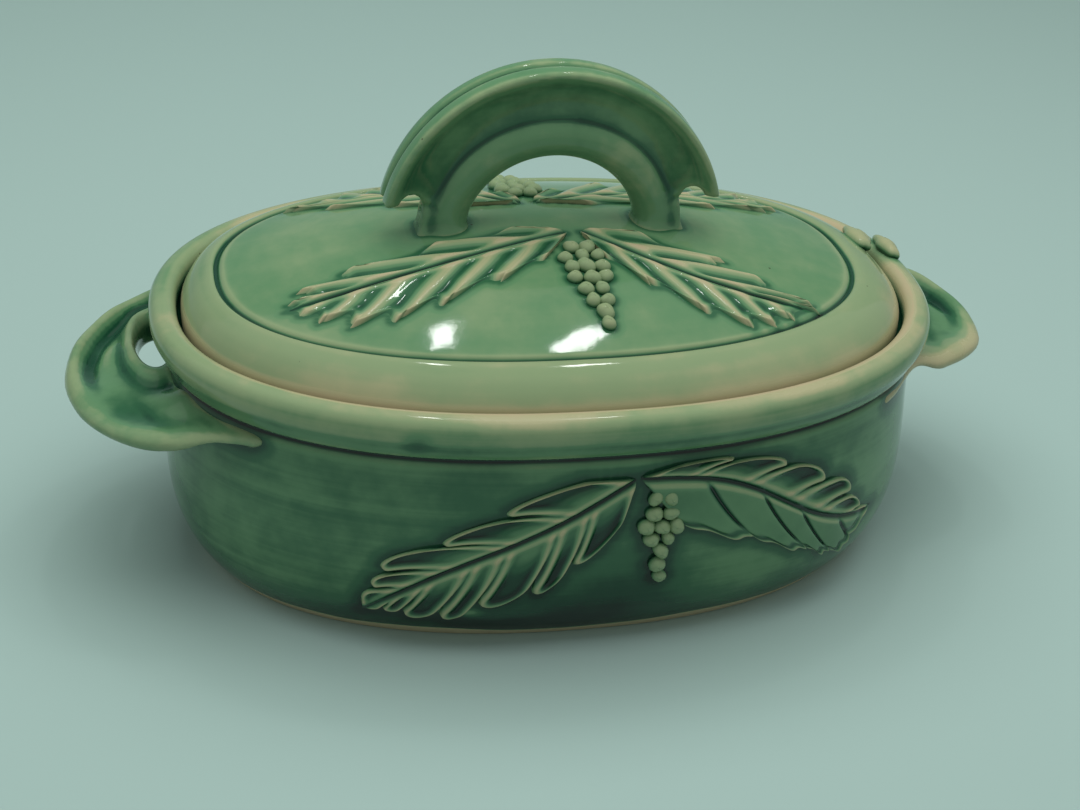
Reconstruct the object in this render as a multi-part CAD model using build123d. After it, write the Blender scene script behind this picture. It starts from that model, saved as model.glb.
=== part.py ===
"""Oval covered casserole dish in glazed stoneware: a dish with two lug handles, and a loose lid with an arch handle.

Millimetres, +Z up, +X along the dish's length, -Y to its front. The origin is the centre of the foot.

Every ring of the dish and of the lid is the rim's oval moved inward by a distance called the inset.
The oval has four centres: two end arcs and two side arcs, tangent where they meet.
"""
from build123d import *
import math
import os

# Driving dimensions of the dish
HALF_LENGTH = 160.0          # rim, along X
HALF_WIDTH = 111.5           # rim, along Y
END_RADIUS = 95.0            # rim, at the two ends
FLOOR_THICKNESS = 8.0
FLOOR_INSET = 34.0           # edge of the flat floor inside
LEDGE_HEIGHT = 98.0          # the lid rests here
LEDGE_INSET = 22.0           # inner edge of the ledge
GALLERY_INSET = 11.5         # upright wall round the lid

# Driving dimensions of the lid
LID_INSET = 13.0             # 1.5 mm clear of the upright wall
LID_HOLLOW_INSET = 24.0
LID_THICKNESS = 8.0
LID_TOP = 139.0              # crown of the lid, under its handle
CROWN_RADIUS_X = 400.0       # the crown's curve along the dish
CROWN_RADIUS_Y = 156.6       # the crown's curve across it
CROWN_TURN = 56.0            # degrees of the long curve, more than the lid's length takes
CROWN_DEPTH = 50.0           # of the block under the crown's curve, below the ledge
BORDER_INSET = 30.4          # groove between the lid's border and its crown
BORDER_HEIGHT = 117.6
BORDER_RISE = 11.6
GROOVE_DEPTH = 1.6

# Driving dimensions of the handles
ARCH_CENTRE = 132.4          # height that the arch's crest turns round
ARCH_RADIUS = 69.6           # crest of the arch
CREST_DEPTH = 8.0
CREST_HALF_WIDTH = 10.0
WEB_HALF_WIDTH = 5.5
ROLL_CENTRE = 129.5          # height that the arch's inner roll turns round
ROLL_RADIUS = 44.5
ROLL_WIDTH = 16.8
CREST_END = 148.5            # height where the crest stops, clear of the lid
CUSP_RADIUS = 4.5            # hollow under each end of the crest
CREST_ROUNDING = 3.2         # corners of the crest's section, the web's and the roll's
WEB_ROUNDING = 1.0
ROLL_ROUNDING = 7.0
LIP_GROOVE_DEPTH = 2.5       # groove between the crest's two lips
LIP_GROOVE_HALF_WIDTH = 1.5
LUG_BOTTOM = 71.0
LUG_TOP = 84.0
LUG_ROUNDING = 5.2
LUG_ROOT_X = 126.0           # both ends of a lug are inside the wall here
LUG_SLOT_X = (150.0, 170.0)

# Each lug's outer edge from front to back, as (outward along X, Y), and its finger slot along Y.
# They were put on by eye: the right one sits further back and is shorter in front.
LEFT_LUG_EDGE = [
    (LUG_ROOT_X, -66.0), (144.0, -62.0), (160.0, -60.0), (177.0, -49.0), (188.4, -30.0),
    (193.4, -6.0), (187.4, 24.0), (173.4, 46.0), (154.0, 62.0), (LUG_ROOT_X, 66.0),
]
LEFT_LUG_SLOT_Y = (-22.0, 42.0)
RIGHT_LUG_EDGE = [
    (LUG_ROOT_X, -52.0), (146.0, -45.0), (166.0, -32.5), (183.0, -20.0), (193.2, 3.0),
    (189.0, 31.0), (178.0, 54.0), (156.0, 68.0), (LUG_ROOT_X, 74.0),
]
RIGHT_LUG_SLOT_Y = (-8.0, 52.0)

# Driving dimensions of the applied sprigs
RELIEF = 3.0                 # how far the leaves stand out of the clay they lie on
BERRY_RADIUS = 3.0
BERRY_RAISE = 1.0            # a berry's centre stands this far out of the clay
BERRY_GAP = 0.3
LEAF_MARGIN = 0.6            # between the lid's leaves and the groove round its crown
BUD_LENGTH = 20.0
BUD_RADIUS = 4.0
BUD_ROUNDING = 3.8
RIM_BUD = (5.6, 107.5, 10.5)     # inset, height, and angle from the X axis round the right end arc's centre
LID_BUD = (18.6, 109.5, 13.0)

# Each leaf: stalk end, tip, sideways bow of its midrib, half-width on its left and right, number of lobes
DISH_LEAF_LEFT = ((15.0, 78.0), (-88.0, 17.0), -5.0, 19.0, 17.0, 7)
DISH_LEAF_RIGHT = ((18.0, 78.0), (126.0, 37.0), 4.0, 15.0, 19.0, 6)
LID_LEAF_LEFT = ((4.0, -16.0), (-110.0, -40.0), 3.0, 18.0, 17.0, 7)
LID_LEAF_RIGHT = ((9.0, -15.0), (94.0, -55.0), -7.0, 18.0, 20.0, 6)

# Berries: where the bunch starts, how many hang in each row, and how far each row moves sideways
DISH_BUNCH = ((25.0, 68.5), (2, 2, 3, 2, 1, 1), 0.2)
LID_BUNCH = ((7.0, -26.0), (2, 3, 3, 3, 2, 2, 1), 0.4)

# Worked out from the oval
END_X = HALF_LENGTH - END_RADIUS
SIDE_RADIUS = (END_X**2 + HALF_WIDTH**2 - END_RADIUS**2) / (2 * (HALF_WIDTH - END_RADIUS))
SIDE_Y = SIDE_RADIUS - HALF_WIDTH
SIDE_HALF_ANGLE = math.degrees(math.atan2(END_X, SIDE_Y))
END_HALF_ANGLE = 90.0 - SIDE_HALF_ANGLE

# Profiles of the dish as (inset, height)
FOOT = [(20.5, 0.0), (19.3, 1.5), (16.8, 5.0)]
BELLY = [(16.8, 5.0), (12.0, 12.0), (7.6, 22.0), (5.2, 33.0), (4.6, 45.0), (5.3, 60.0), (6.3, 75.0), (6.4, 86.0)]
BAND = [(7.8, 87.6), (5.2, 89.4), (3.0, 94.0), (0.0, 101.0), (1.5, 104.5), (5.0, 107.6)]
CROWN = [(7.0, 108.0), (9.6, 107.4), (GALLERY_INSET, 104.5)]
LEDGE = [(GALLERY_INSET, LEDGE_HEIGHT), (LEDGE_INSET, LEDGE_HEIGHT), (LEDGE_INSET, 95.0), (14.4, 86.0)]
INNER_WALL = [(14.4, 86.0), (13.3, 75.0), (12.3, 60.0), (11.7, 45.0), (12.6, 33.0), (15.8, 22.0), (22.0, 13.0)]


def oval(inset):
    """The rim's oval moved inward, as a face on the XY plane."""
    end = END_RADIUS - inset
    side = SIDE_RADIUS - inset
    right = CenterArc((END_X, 0), end, -END_HALF_ANGLE, 2 * END_HALF_ANGLE)
    back = CenterArc((0, -SIDE_Y), side, END_HALF_ANGLE, 2 * SIDE_HALF_ANGLE)
    left = CenterArc((-END_X, 0), end, 180 - END_HALF_ANGLE, 2 * END_HALF_ANGLE)
    front = CenterArc((0, SIDE_Y), side, 180 + END_HALF_ANGLE, 2 * SIDE_HALF_ANGLE)
    return make_face([right, back, left, front])


def around_oval(section):
    """Carries a section round the oval. section(radius) gives it for an arc whose rim radius is that."""
    end = Pos(END_X, 0, 0) * Rot(0, 0, -END_HALF_ANGLE) * revolve(section(END_RADIUS), Axis.Z, 2 * END_HALF_ANGLE)
    side = Pos(0, -SIDE_Y, 0) * Rot(0, 0, END_HALF_ANGLE) * revolve(section(SIDE_RADIUS), Axis.Z, 2 * SIDE_HALF_ANGLE)
    half = end + side
    return half + Rot(0, 0, 180) * half


def at_radius(points, radius):
    """(inset, height) points as points of the XZ plane, for an arc of that rim radius."""
    return [Vector(radius - inset, 0, height) for inset, height in points]


def dish_section(radius):
    floor_edge = (FLOOR_INSET, FLOOR_THICKNESS)
    inner_wall = at_radius(INNER_WALL + [floor_edge], radius)
    edges = [
        Polyline(*at_radius(FOOT, radius)),
        Spline(*at_radius(BELLY, radius)),
        Polyline(*at_radius([BELLY[-1]] + BAND + CROWN + LEDGE, radius)),
        Spline(*inner_wall, tangents=[(0.1, 0, -1), (-1, 0, 0)]),
        Polyline(*at_radius([floor_edge, (FLOOR_INSET, 0.0), FOOT[0]], radius)),
    ]
    return make_face(edges)


def make_dish():
    return around_oval(dish_section) + extrude(oval(FLOOR_INSET), FLOOR_THICKNESS)


def skin_section(radius):
    """A skin over the belly, as thick as the leaves."""
    raised = [(inset - RELIEF, height) for inset, height in BELLY]
    edges = [
        Spline(*at_radius(BELLY, radius)),
        Spline(*at_radius(raised, radius)),
        Line(*at_radius([BELLY[0], raised[0]], radius)),
        Line(*at_radius([BELLY[-1], raised[-1]], radius)),
    ]
    return make_face(edges)


def crown_block(apex):
    """A block whose top curves along X and across Y, highest at apex over the dish's centre."""
    half = HALF_WIDTH
    edge = apex - CROWN_RADIUS_Y + math.sqrt(CROWN_RADIUS_Y**2 - half**2)
    base = LEDGE_HEIGHT - CROWN_DEPTH
    top = ThreePointArc((0, -half, edge), (0, 0, apex), (0, half, edge))
    sides = Polyline((0, half, edge), (0, half, base), (0, -half, base), (0, -half, edge))
    axis = Axis((0, 0, apex - CROWN_RADIUS_X), (0, 1, 0))
    block = revolve(make_face([top, sides]), axis, CROWN_TURN)
    return block.rotate(axis, -CROWN_TURN / 2)


def border_section(radius):
    """The lid's border, from its groove out to the edge that stands on the ledge."""
    edge_top = BORDER_HEIGHT - BORDER_RISE
    outline = [
        (LID_INSET, LEDGE_HEIGHT),
        (LID_INSET, edge_top - 1.5),
        (LID_INSET + 1.0, edge_top),
        (BORDER_INSET - 1.8, BORDER_HEIGHT),
        (BORDER_INSET - 0.6, BORDER_HEIGHT - GROOVE_DEPTH),
        (BORDER_INSET, BORDER_HEIGHT - GROOVE_DEPTH),
        (BORDER_INSET, LEDGE_HEIGHT),
    ]
    return make_face(Polyline(*at_radius(outline, radius), close=True))


def column(inset, base):
    """An upright column on the rim's oval moved inward, tall enough to pass through the lid."""
    return Pos(0, 0, base) * extrude(oval(inset), LID_TOP + 10.0 - base)


def make_lid():
    crown = column(BORDER_INSET, LEDGE_HEIGHT) & crown_block(LID_TOP)
    hollow = column(LID_HOLLOW_INSET, LEDGE_HEIGHT - 1.0) & crown_block(LID_TOP - LID_THICKNESS)
    return crown + around_oval(border_section) - hollow


def half_ring(centre_height, inner, outer, half_width, rounding):
    """The upper half of a ring round a line along Y, of rounded section."""
    section = Pos((inner + outer) / 2, 0, 0) * RectangleRounded(outer - inner, 2 * half_width, rounding)
    ring = revolve(section, Axis.Y, -180)
    return Pos(0, 0, centre_height) * ring


def make_arch():
    """The lid's handle: a crest with two lips, a thin web and a thick inner roll that runs down into two legs."""
    crest_inner = ARCH_RADIUS - CREST_DEPTH
    crest = half_ring(ARCH_CENTRE, crest_inner, ARCH_RADIUS, CREST_HALF_WIDTH, CREST_ROUNDING)
    web = half_ring(ARCH_CENTRE, ROLL_RADIUS, crest_inner + 1.0, WEB_HALF_WIDTH, WEB_ROUNDING)
    roll_inner = ROLL_RADIUS - ROLL_WIDTH / 2
    roll_outer = ROLL_RADIUS + ROLL_WIDTH / 2
    roll = half_ring(ROLL_CENTRE, roll_inner, roll_outer, ROLL_WIDTH / 2, ROLL_ROUNDING)
    arch = crest + web + roll
    groove_floor = ARCH_RADIUS - LIP_GROOVE_DEPTH
    lip_groove = half_ring(
        ARCH_CENTRE, groove_floor, groove_floor + 2 * LIP_GROOVE_DEPTH, LIP_GROOVE_HALF_WIDTH, LIP_GROOVE_HALF_WIDTH / 2
    )
    arch = arch - lip_groove
    leg_x = ROLL_RADIUS + ROLL_WIDTH / 2
    for side in (-1, 1):
        under_end = Pos(side * (leg_x + 20.0), 0, CREST_END - 20.0) * Box(40.0, 4 * CREST_HALF_WIDTH, 40.0)
        hollow = Pos(side * (leg_x + CUSP_RADIUS), 0, CREST_END) * Rot(90, 0, 0) * Cylinder(CUSP_RADIUS, 40.0)
        arch = arch - under_end - hollow
    return arch - crown_block(LID_TOP)


def make_lug(side, edge, slot_y, dish):
    """A strap bent into a loop on one end of the dish, with a slot for the fingers. side is 1 or -1."""
    outline = make_face([Spline(*edge), Line(edge[-1], edge[0])])
    thickness = LUG_TOP - LUG_BOTTOM
    strap = Pos(0, 0, LUG_BOTTOM) * extrude(outline, thickness)
    rims = strap.faces().filter_by(Axis.Z).edges().filter_by(GeomType.BSPLINE)
    strap = fillet(rims, LUG_ROUNDING)
    slot_length = slot_y[1] - slot_y[0]
    slot_width = LUG_SLOT_X[1] - LUG_SLOT_X[0]
    slot = Pos(sum(LUG_SLOT_X) / 2, sum(slot_y) / 2, 0) * extrude(
        RectangleRounded(slot_width, slot_length, slot_width * 0.45), 2 * LUG_TOP
    )
    strap = strap - slot
    if side < 0:
        strap = mirror(strap, Plane.YZ)
    return strap - dish - column(GALLERY_INSET, 0.0)


def leaf_outline(base, tip, bow, upper, lower, lobes):
    """A long lobed leaf as a face. Its midrib runs from base to tip and bows sideways at its middle.

    upper and lower are the half-widths on the midrib's left and right.
    """
    start = Vector(*base)
    along = Vector(*tip) - start
    left = Vector(-along.Y, along.X).normalized()
    sides = {}
    for sign, half_width in ((1, upper), (-1, lower)):
        points = []
        steps = lobes * 4
        for step in range(1, steps):
            s = step / steps
            scallop = 0.8 + 0.2 * abs(math.sin(math.pi * lobes * s))
            width = half_width * math.sin(math.pi * s**0.7) ** 0.8 * scallop
            points.append(start + along * s + left * (bow * math.sin(math.pi * s) + sign * width))
        sides[sign] = points
    outline = [start] + sides[1] + [Vector(*tip)] + sides[-1][::-1]
    return make_face(Polyline(*outline, close=True))


def belly_leaf(outline, turn, skin, bunch):
    """A leaf that lies on the belly, cut round its bunch. outline is drawn on the XZ plane, for the front."""
    reach = extrude(Plane.XZ * outline, 2 * HALF_WIDTH)
    return skin & (Rot(0, 0, turn) * reach) - bunch


def crown_leaf(outline, turn, bunch, arch):
    """A leaf that lies on the lid's crown, cut round its bunch. outline is drawn on the XY plane, for the front."""
    reach = Pos(0, 0, LEDGE_HEIGHT) * extrude(outline, 2 * (LID_TOP - LEDGE_HEIGHT))
    reach = Rot(0, 0, turn) * reach & column(BORDER_INSET + LEAF_MARGIN, LEDGE_HEIGHT)
    leaf = reach & crown_block(LID_TOP + RELIEF)
    return leaf - crown_block(LID_TOP) - bunch - arch


def crown_height(x, y):
    fall_x = CROWN_RADIUS_X - math.sqrt(CROWN_RADIUS_X**2 - x**2)
    fall_y = CROWN_RADIUS_Y - math.sqrt(CROWN_RADIUS_Y**2 - y**2)
    return LID_TOP - fall_x - fall_y


def belly_depth(x, z):
    """How far the front of the belly lies from the XZ plane, at x and z."""
    for (inset_low, low), (inset_high, high) in zip(BELLY, BELLY[1:]):
        if low <= z <= high:
            inset = inset_low + (inset_high - inset_low) * (z - low) / (high - low)
    return math.sqrt((SIDE_RADIUS - inset) ** 2 - x**2) - SIDE_Y


def bunch_places(top, rows, lean):
    """Centres of a hanging bunch, row by row from its top. lean is how far each row moves sideways."""
    step = 2 * BERRY_RADIUS + BERRY_GAP
    places = []
    for row, count in enumerate(rows):
        for number in range(count):
            across = (number - (count - 1) / 2) * step + row * lean
            places.append((top[0] + across, top[1] - row * step))
    return places


def belly_bunch(places, turn, dish):
    berries = [Pos(x, -belly_depth(x, z) - BERRY_RAISE, z) * Sphere(BERRY_RADIUS) for x, z in places]
    return Part() + [Rot(0, 0, turn) * berry for berry in berries] - dish


def crown_bunch(places, turn):
    berries = [Pos(x, y, crown_height(x, y) + BERRY_RAISE) * Sphere(BERRY_RADIUS) for x, y in places]
    return Part() + [Rot(0, 0, turn) * berry for berry in berries] - crown_block(LID_TOP)


def bud(inset, height, angle, base):
    """A small long bud that lies along an end arc, at that angle from the X axis."""
    body = Cylinder(BUD_RADIUS, BUD_LENGTH)
    body = fillet(body.edges().filter_by(GeomType.CIRCLE), BUD_ROUNDING)
    lying = Rot(90, 0, 0) * body
    turned = Rot(0, 0, angle) * Pos(END_RADIUS - inset, 0, height) * lying
    return Pos(END_X, 0, 0) * turned - base


def make_sprigs(dish, arch):
    """The leaves and berries: one sprig on each long side of the dish and of the lid."""
    skin = around_oval(skin_section)
    parts = {}
    for place, turn in (("front", 0), ("back", 180)):
        bunch = belly_bunch(bunch_places(*DISH_BUNCH), turn, dish)
        parts["dish_berries_" + place] = bunch
        parts["dish_leaf_left_" + place] = belly_leaf(leaf_outline(*DISH_LEAF_LEFT), turn, skin, bunch)
        parts["dish_leaf_right_" + place] = belly_leaf(leaf_outline(*DISH_LEAF_RIGHT), turn, skin, bunch)
        bunch = crown_bunch(bunch_places(*LID_BUNCH), turn)
        parts["lid_berries_" + place] = bunch
        parts["lid_leaf_left_" + place] = crown_leaf(leaf_outline(*LID_LEAF_LEFT), turn, bunch, arch)
        parts["lid_leaf_right_" + place] = crown_leaf(leaf_outline(*LID_LEAF_RIGHT), turn, bunch, arch)
    return parts


def main():
    dish = make_dish()
    lid = make_lid()
    arch = make_arch()
    parts = {
        "dish_body": dish,
        "handle_left": make_lug(-1, LEFT_LUG_EDGE, LEFT_LUG_SLOT_Y, dish),
        "handle_right": make_lug(1, RIGHT_LUG_EDGE, RIGHT_LUG_SLOT_Y, dish),
        "rim_alignment_bud": bud(*RIM_BUD, dish),
        "lid": lid,
        "lid_handle": arch,
        "lid_alignment_bud": bud(*LID_BUD, lid),
    }
    parts.update(make_sprigs(dish, arch))
    os.makedirs("parts", exist_ok=True)
    for name, part in parts.items():
        export_step(part, "parts/" + name + ".step")


main()
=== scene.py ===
"""Looks of the oval covered casserole dish: celadon glaze over hand-built stoneware.

Shapes are worked out in millimetres, in the model's frame, and turned to metres when a mesh is made.
The ware's rings are insets of one rim plan: a superellipse whose normals carry every wall.
The glaze's thickness is worked out on each mesh: it runs thin over edges and pools in hollows.
"""
import bpy
import math
import numpy as np
from mathutils import Matrix, Vector
from mathutils.kdtree import KDTree


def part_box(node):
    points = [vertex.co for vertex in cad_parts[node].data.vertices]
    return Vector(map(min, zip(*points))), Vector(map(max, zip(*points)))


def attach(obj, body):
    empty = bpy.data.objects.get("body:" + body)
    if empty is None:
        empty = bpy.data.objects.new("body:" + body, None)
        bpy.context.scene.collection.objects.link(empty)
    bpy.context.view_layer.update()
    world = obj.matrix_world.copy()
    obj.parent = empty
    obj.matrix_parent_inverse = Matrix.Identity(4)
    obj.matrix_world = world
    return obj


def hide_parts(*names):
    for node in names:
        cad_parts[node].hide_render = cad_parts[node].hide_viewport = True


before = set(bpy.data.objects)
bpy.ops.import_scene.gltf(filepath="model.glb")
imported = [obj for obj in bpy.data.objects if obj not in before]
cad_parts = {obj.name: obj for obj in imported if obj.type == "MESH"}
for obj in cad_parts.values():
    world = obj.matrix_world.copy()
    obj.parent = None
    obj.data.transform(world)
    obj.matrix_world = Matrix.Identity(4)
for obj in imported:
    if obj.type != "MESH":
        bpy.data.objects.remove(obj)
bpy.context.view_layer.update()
MM = 0.001


def far_corner(node):
    """The corner of a CAD node's box with the largest x, y and z, in millimetres."""
    return np.array(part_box(node)[1]) / MM


HALF_LENGTH, HALF_WIDTH = far_corner("dish_body")[:2]
CROWN_HEIGHT = far_corner("lid")[2]
ARCH_TOP = far_corner("lid_handle")[2]
LUG_REACH = far_corner("handle_right")[0]
PLAN_POWER = 2.25  # superellipse of the rim: 2 is an ellipse, more is squarer
DISH_WOBBLE, DISH_SEED = 0.45, 1.0  # how far the hand-built wall strays, and which way
LID_WOBBLE, LID_SEED = 0.35, 2.2
RING_SPACING = 1.35  # between the points of a ring


# -------- plan of the ware

def plan_table(count=24001):
    """Rim points, outward normals and the distance round the rim, from the middle of the front towards +X."""
    angle = np.linspace(-math.pi / 2, 1.5 * math.pi, count)
    cos, sin = np.cos(angle), np.sin(angle)
    power = PLAN_POWER / (PLAN_POWER - 1)
    along, across = HALF_LENGTH * np.abs(cos), HALF_WIDTH * np.abs(sin)
    total = (along**power + across**power) ** (1 / PLAN_POWER)
    x = np.sign(cos) * HALF_LENGTH * along ** (power - 1) / total
    y = np.sign(sin) * HALF_WIDTH * across ** (power - 1) / total
    step = np.hypot(np.diff(x), np.diff(y))
    return x, y, cos, sin, np.concatenate([[0.0], np.cumsum(step)])


PLAN = plan_table()
PERIMETER = PLAN[4][-1]
RING_COUNT = int(PERIMETER / RING_SPACING)


def plan_at(distance):
    """x, y and the outward normal at a distance round the rim."""
    distance = np.mod(distance, PERIMETER)
    return [np.interp(distance, PLAN[4], values) for values in PLAN[:4]]


def oval_share(x, y, half_x, half_y):
    """How far out in an oval like the rim's a point lies: 0 in the middle, 1 on its edge."""
    total = np.abs(x / half_x) ** PLAN_POWER + np.abs(y / half_y) ** PLAN_POWER
    return total ** (1 / PLAN_POWER)


def wander(distance, height, seed):
    """A slow, smooth unevenness, between about -1 and 1, that closes round the rim."""
    turn = 2 * math.pi * np.asarray(distance) / PERIMETER
    lift = np.asarray(height) / 60.0
    value = 0.45 * np.sin(2 * turn + seed + 0.8 * lift) + 0.30 * np.sin(3 * turn + 2.3 * seed - lift)
    value += 0.15 * np.sin(5 * turn + 4.1 * seed + 2 * lift)
    return value + 0.10 * np.sin(9 * turn + seed - 3 * lift)


def strayed(wobble, distance, height, seed):
    """How far inward a wall strays there."""
    return wobble * (0.5 + 0.5 * wander(distance, height, seed))


def softened(points, rounds=3):
    """Cuts the corners of an outline, which leaves a smooth curve through the middles of its sides."""
    points = np.array(points, float)
    for _ in range(rounds):
        a, b = points[:-1], points[1:]
        cut = np.stack([0.75 * a + 0.25 * b, 0.25 * a + 0.75 * b], 1).reshape(-1, points.shape[1])
        points = np.vstack([points[:1], cut, points[-1:]])
    return points


def eased(value):
    """0 up to 0, 1 from 1 on, with a smooth step between."""
    value = np.clip(value, 0, 1)
    return value * value * (3 - 2 * value)


def bump_at(value, middle, width):
    """1 in the middle, falling smoothly to 0 about two widths away."""
    return np.exp(-(((value - middle) / width) ** 2))


def evenly(points, spacing):
    """The same line with its points about that far apart."""
    step = np.linalg.norm(np.diff(points, axis=0), axis=1)
    run = np.concatenate([[0.0], np.cumsum(step)])
    places = np.linspace(0, run[-1], max(3, int(run[-1] / spacing)))
    return np.stack([np.interp(places, run, column) for column in points.T], 1)


# -------- meshes

def ring_faces(rows, columns, closed_columns=True):
    """Quads between rows of points. Rows are open, columns close on themselves if asked."""
    last = columns if closed_columns else columns - 1
    row, column = np.meshgrid(np.arange(rows - 1), np.arange(last), indexing="ij")
    across = (column + 1) % columns
    here, beyond = row * columns, (row + 1) * columns
    return np.stack([here + column, here + across, beyond + across, beyond + column], -1).reshape(-1, 4)


def added(name, data):
    """A new object in the scene."""
    item = bpy.data.objects.new(name, data)
    bpy.context.scene.collection.objects.link(item)
    return item


def make_object(name, points, quads, fans, glaze, material):
    """Makes a smooth-shaded object from millimetre points, with the glaze's thickness as an attribute."""
    mesh = bpy.data.meshes.new(name)
    mesh.from_pydata((points * MM).tolist(), [], quads.tolist() + list(fans))
    mesh.validate()
    mesh.polygons.foreach_set("use_smooth", [True] * len(mesh.polygons))
    layer = mesh.attributes.new("glaze", "FLOAT", "POINT")
    layer.data.foreach_set("value", np.asarray(glaze, np.float32))
    mesh.materials.append(material)
    return added(name, mesh)


def edge_pairs(quads):
    """Every edge of the quads once, as the numbers of its two points."""
    pairs = np.concatenate([quads[:, [i, (i + 1) % 4]] for i in range(4)])
    return np.unique(np.sort(pairs, 1), axis=0)


def smoothed(points, pairs, rounds, amount=0.6):
    """Points drawn towards their neighbours, several times."""
    count = len(points)
    a, b = pairs.T
    degree = np.maximum(np.bincount(a, minlength=count) + np.bincount(b, minlength=count), 1)[:, None]
    points = points.copy()
    for _ in range(rounds):
        total = np.stack([
            np.bincount(a, column[b], count) + np.bincount(b, column[a], count) for column in points.T
        ], 1)
        points += amount * (total / degree - points)
    return points


def point_normals(points, quads):
    """Area-weighted normals of the points of quads that are wound outward."""
    first, second, third, fourth = (points[quads[:, i]] for i in range(4))
    normal = np.cross(third - first, fourth - second)
    total = np.stack([
        sum(np.bincount(quads[:, i], normal[:, axis], len(points)) for i in range(4)) for axis in range(3)
    ], 1)
    return total / np.maximum(np.linalg.norm(total, axis=1), 1e-9)[:, None]


def standing_out(points, quads, rounds):
    """How far each point stands out of the surface around it, in millimetres: more than 0 on edges."""
    apart = points - smoothed(points, edge_pairs(quads), rounds)
    return np.einsum("ij,ij->i", apart, point_normals(points, quads))


def near_to(points, others, reach):
    """1 beside the other points, falling to 0 at the reach."""
    tree = KDTree(len(others))
    for index, other in enumerate(others):
        tree.insert(other, index)
    tree.balance()
    low, high = others.min(0) - reach, others.max(0) + reach
    result = np.zeros(len(points))
    inside = np.all((points > low) & (points < high), 1)
    for index in np.nonzero(inside)[0]:
        result[index] = max(0.0, 1 - tree.find(points[index])[2] / reach)
    return result


# -------- glaze

def linked(tree, kind, inputs=None, **settings):
    """Adds a node, sets its properties and links or sets its inputs."""
    node = tree.nodes.new(kind)
    for key, value in settings.items():
        setattr(node, key, value)
    for key, value in (inputs or {}).items():
        if isinstance(value, bpy.types.NodeSocket):
            tree.links.new(value, node.inputs[key])
        else:
            node.inputs[key].default_value = value
    return node


def maths(tree, operation, *values, clamp=False):
    """A maths node's result."""
    node = linked(tree, "ShaderNodeMath", dict(enumerate(values)), operation=operation, use_clamp=clamp)
    return node.outputs[0]


def noise(tree, place, scale, detail, roughness=0.55):
    """Smooth noise between 0 and 1."""
    inputs = {"Vector": place, "Scale": scale, "Detail": detail, "Roughness": roughness}
    return linked(tree, "ShaderNodeTexNoise", inputs).outputs["Fac"]


def stretched(tree, place, scale):
    """The place with each axis scaled."""
    return linked(tree, "ShaderNodeMapping", {"Vector": place, "Scale": scale}).outputs["Vector"]


# Colour of the fired glaze as it gets thicker: bare clay, cream, sage, green, pooled green
GLAZE_COLOURS = [
    (0.00, (0.43, 0.36, 0.22)),
    (0.12, (0.39, 0.37, 0.21)),
    (0.26, (0.235, 0.315, 0.165)),
    (0.42, (0.105, 0.230, 0.110)),
    (0.62, (0.028, 0.110, 0.050)),
    (0.82, (0.008, 0.052, 0.026)),
    (1.00, (0.002, 0.014, 0.008)),
]


GLAZE_IOR = 1.47
GLAZE_ROUGHNESS = 0.05
BARE_ROUGHNESS = 0.5  # added where there is hardly any glaze
SKIN_RELIEF = 0.0002  # unevenness of the glaze's skin, in metres
# Iron specks in the clay, which show through the glaze
SPECK_CELLS = 95.0  # how finely the clay is divided into cells that can hold a speck
SPECK_RADIUS = 0.045
SPECK_RARITY = 0.93  # share of the cells that hold none
SPECK_STRENGTH = 0.75
SPECK_COLOUR = (0.03, 0.022, 0.012, 1.0)


def glaze_colour(tree, depth):
    """The glaze's colour at its thickness."""
    ramp = linked(tree, "ShaderNodeValToRGB", {"Fac": depth})
    ramp.color_ramp.interpolation = "EASE"
    stops = ramp.color_ramp.elements
    for index, (position, colour) in enumerate(GLAZE_COLOURS):
        stop = stops[index] if index < 2 else stops.new(position)
        stop.position = position
        stop.color = (*colour, 1.0)
    return ramp.outputs["Color"]


def speckled(tree, place, colour):
    """The colour with a few dark specks."""
    cells = linked(tree, "ShaderNodeTexVoronoi", {"Vector": place, "Scale": SPECK_CELLS, "Randomness": 1.0})
    spot = maths(tree, "LESS_THAN", cells.outputs["Distance"], SPECK_RADIUS)
    chosen = linked(tree, "ShaderNodeSeparateColor", {"Color": cells.outputs["Color"]})
    rare = maths(tree, "GREATER_THAN", chosen.outputs["Red"], SPECK_RARITY)
    speck = maths(tree, "MULTIPLY", maths(tree, "MULTIPLY", spot, rare), SPECK_STRENGTH)
    mixed = linked(tree, "ShaderNodeMix", {"Factor": speck, 6: colour}, data_type="RGBA")
    mixed.inputs[7].default_value = SPECK_COLOUR
    return mixed.outputs[2]


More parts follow.
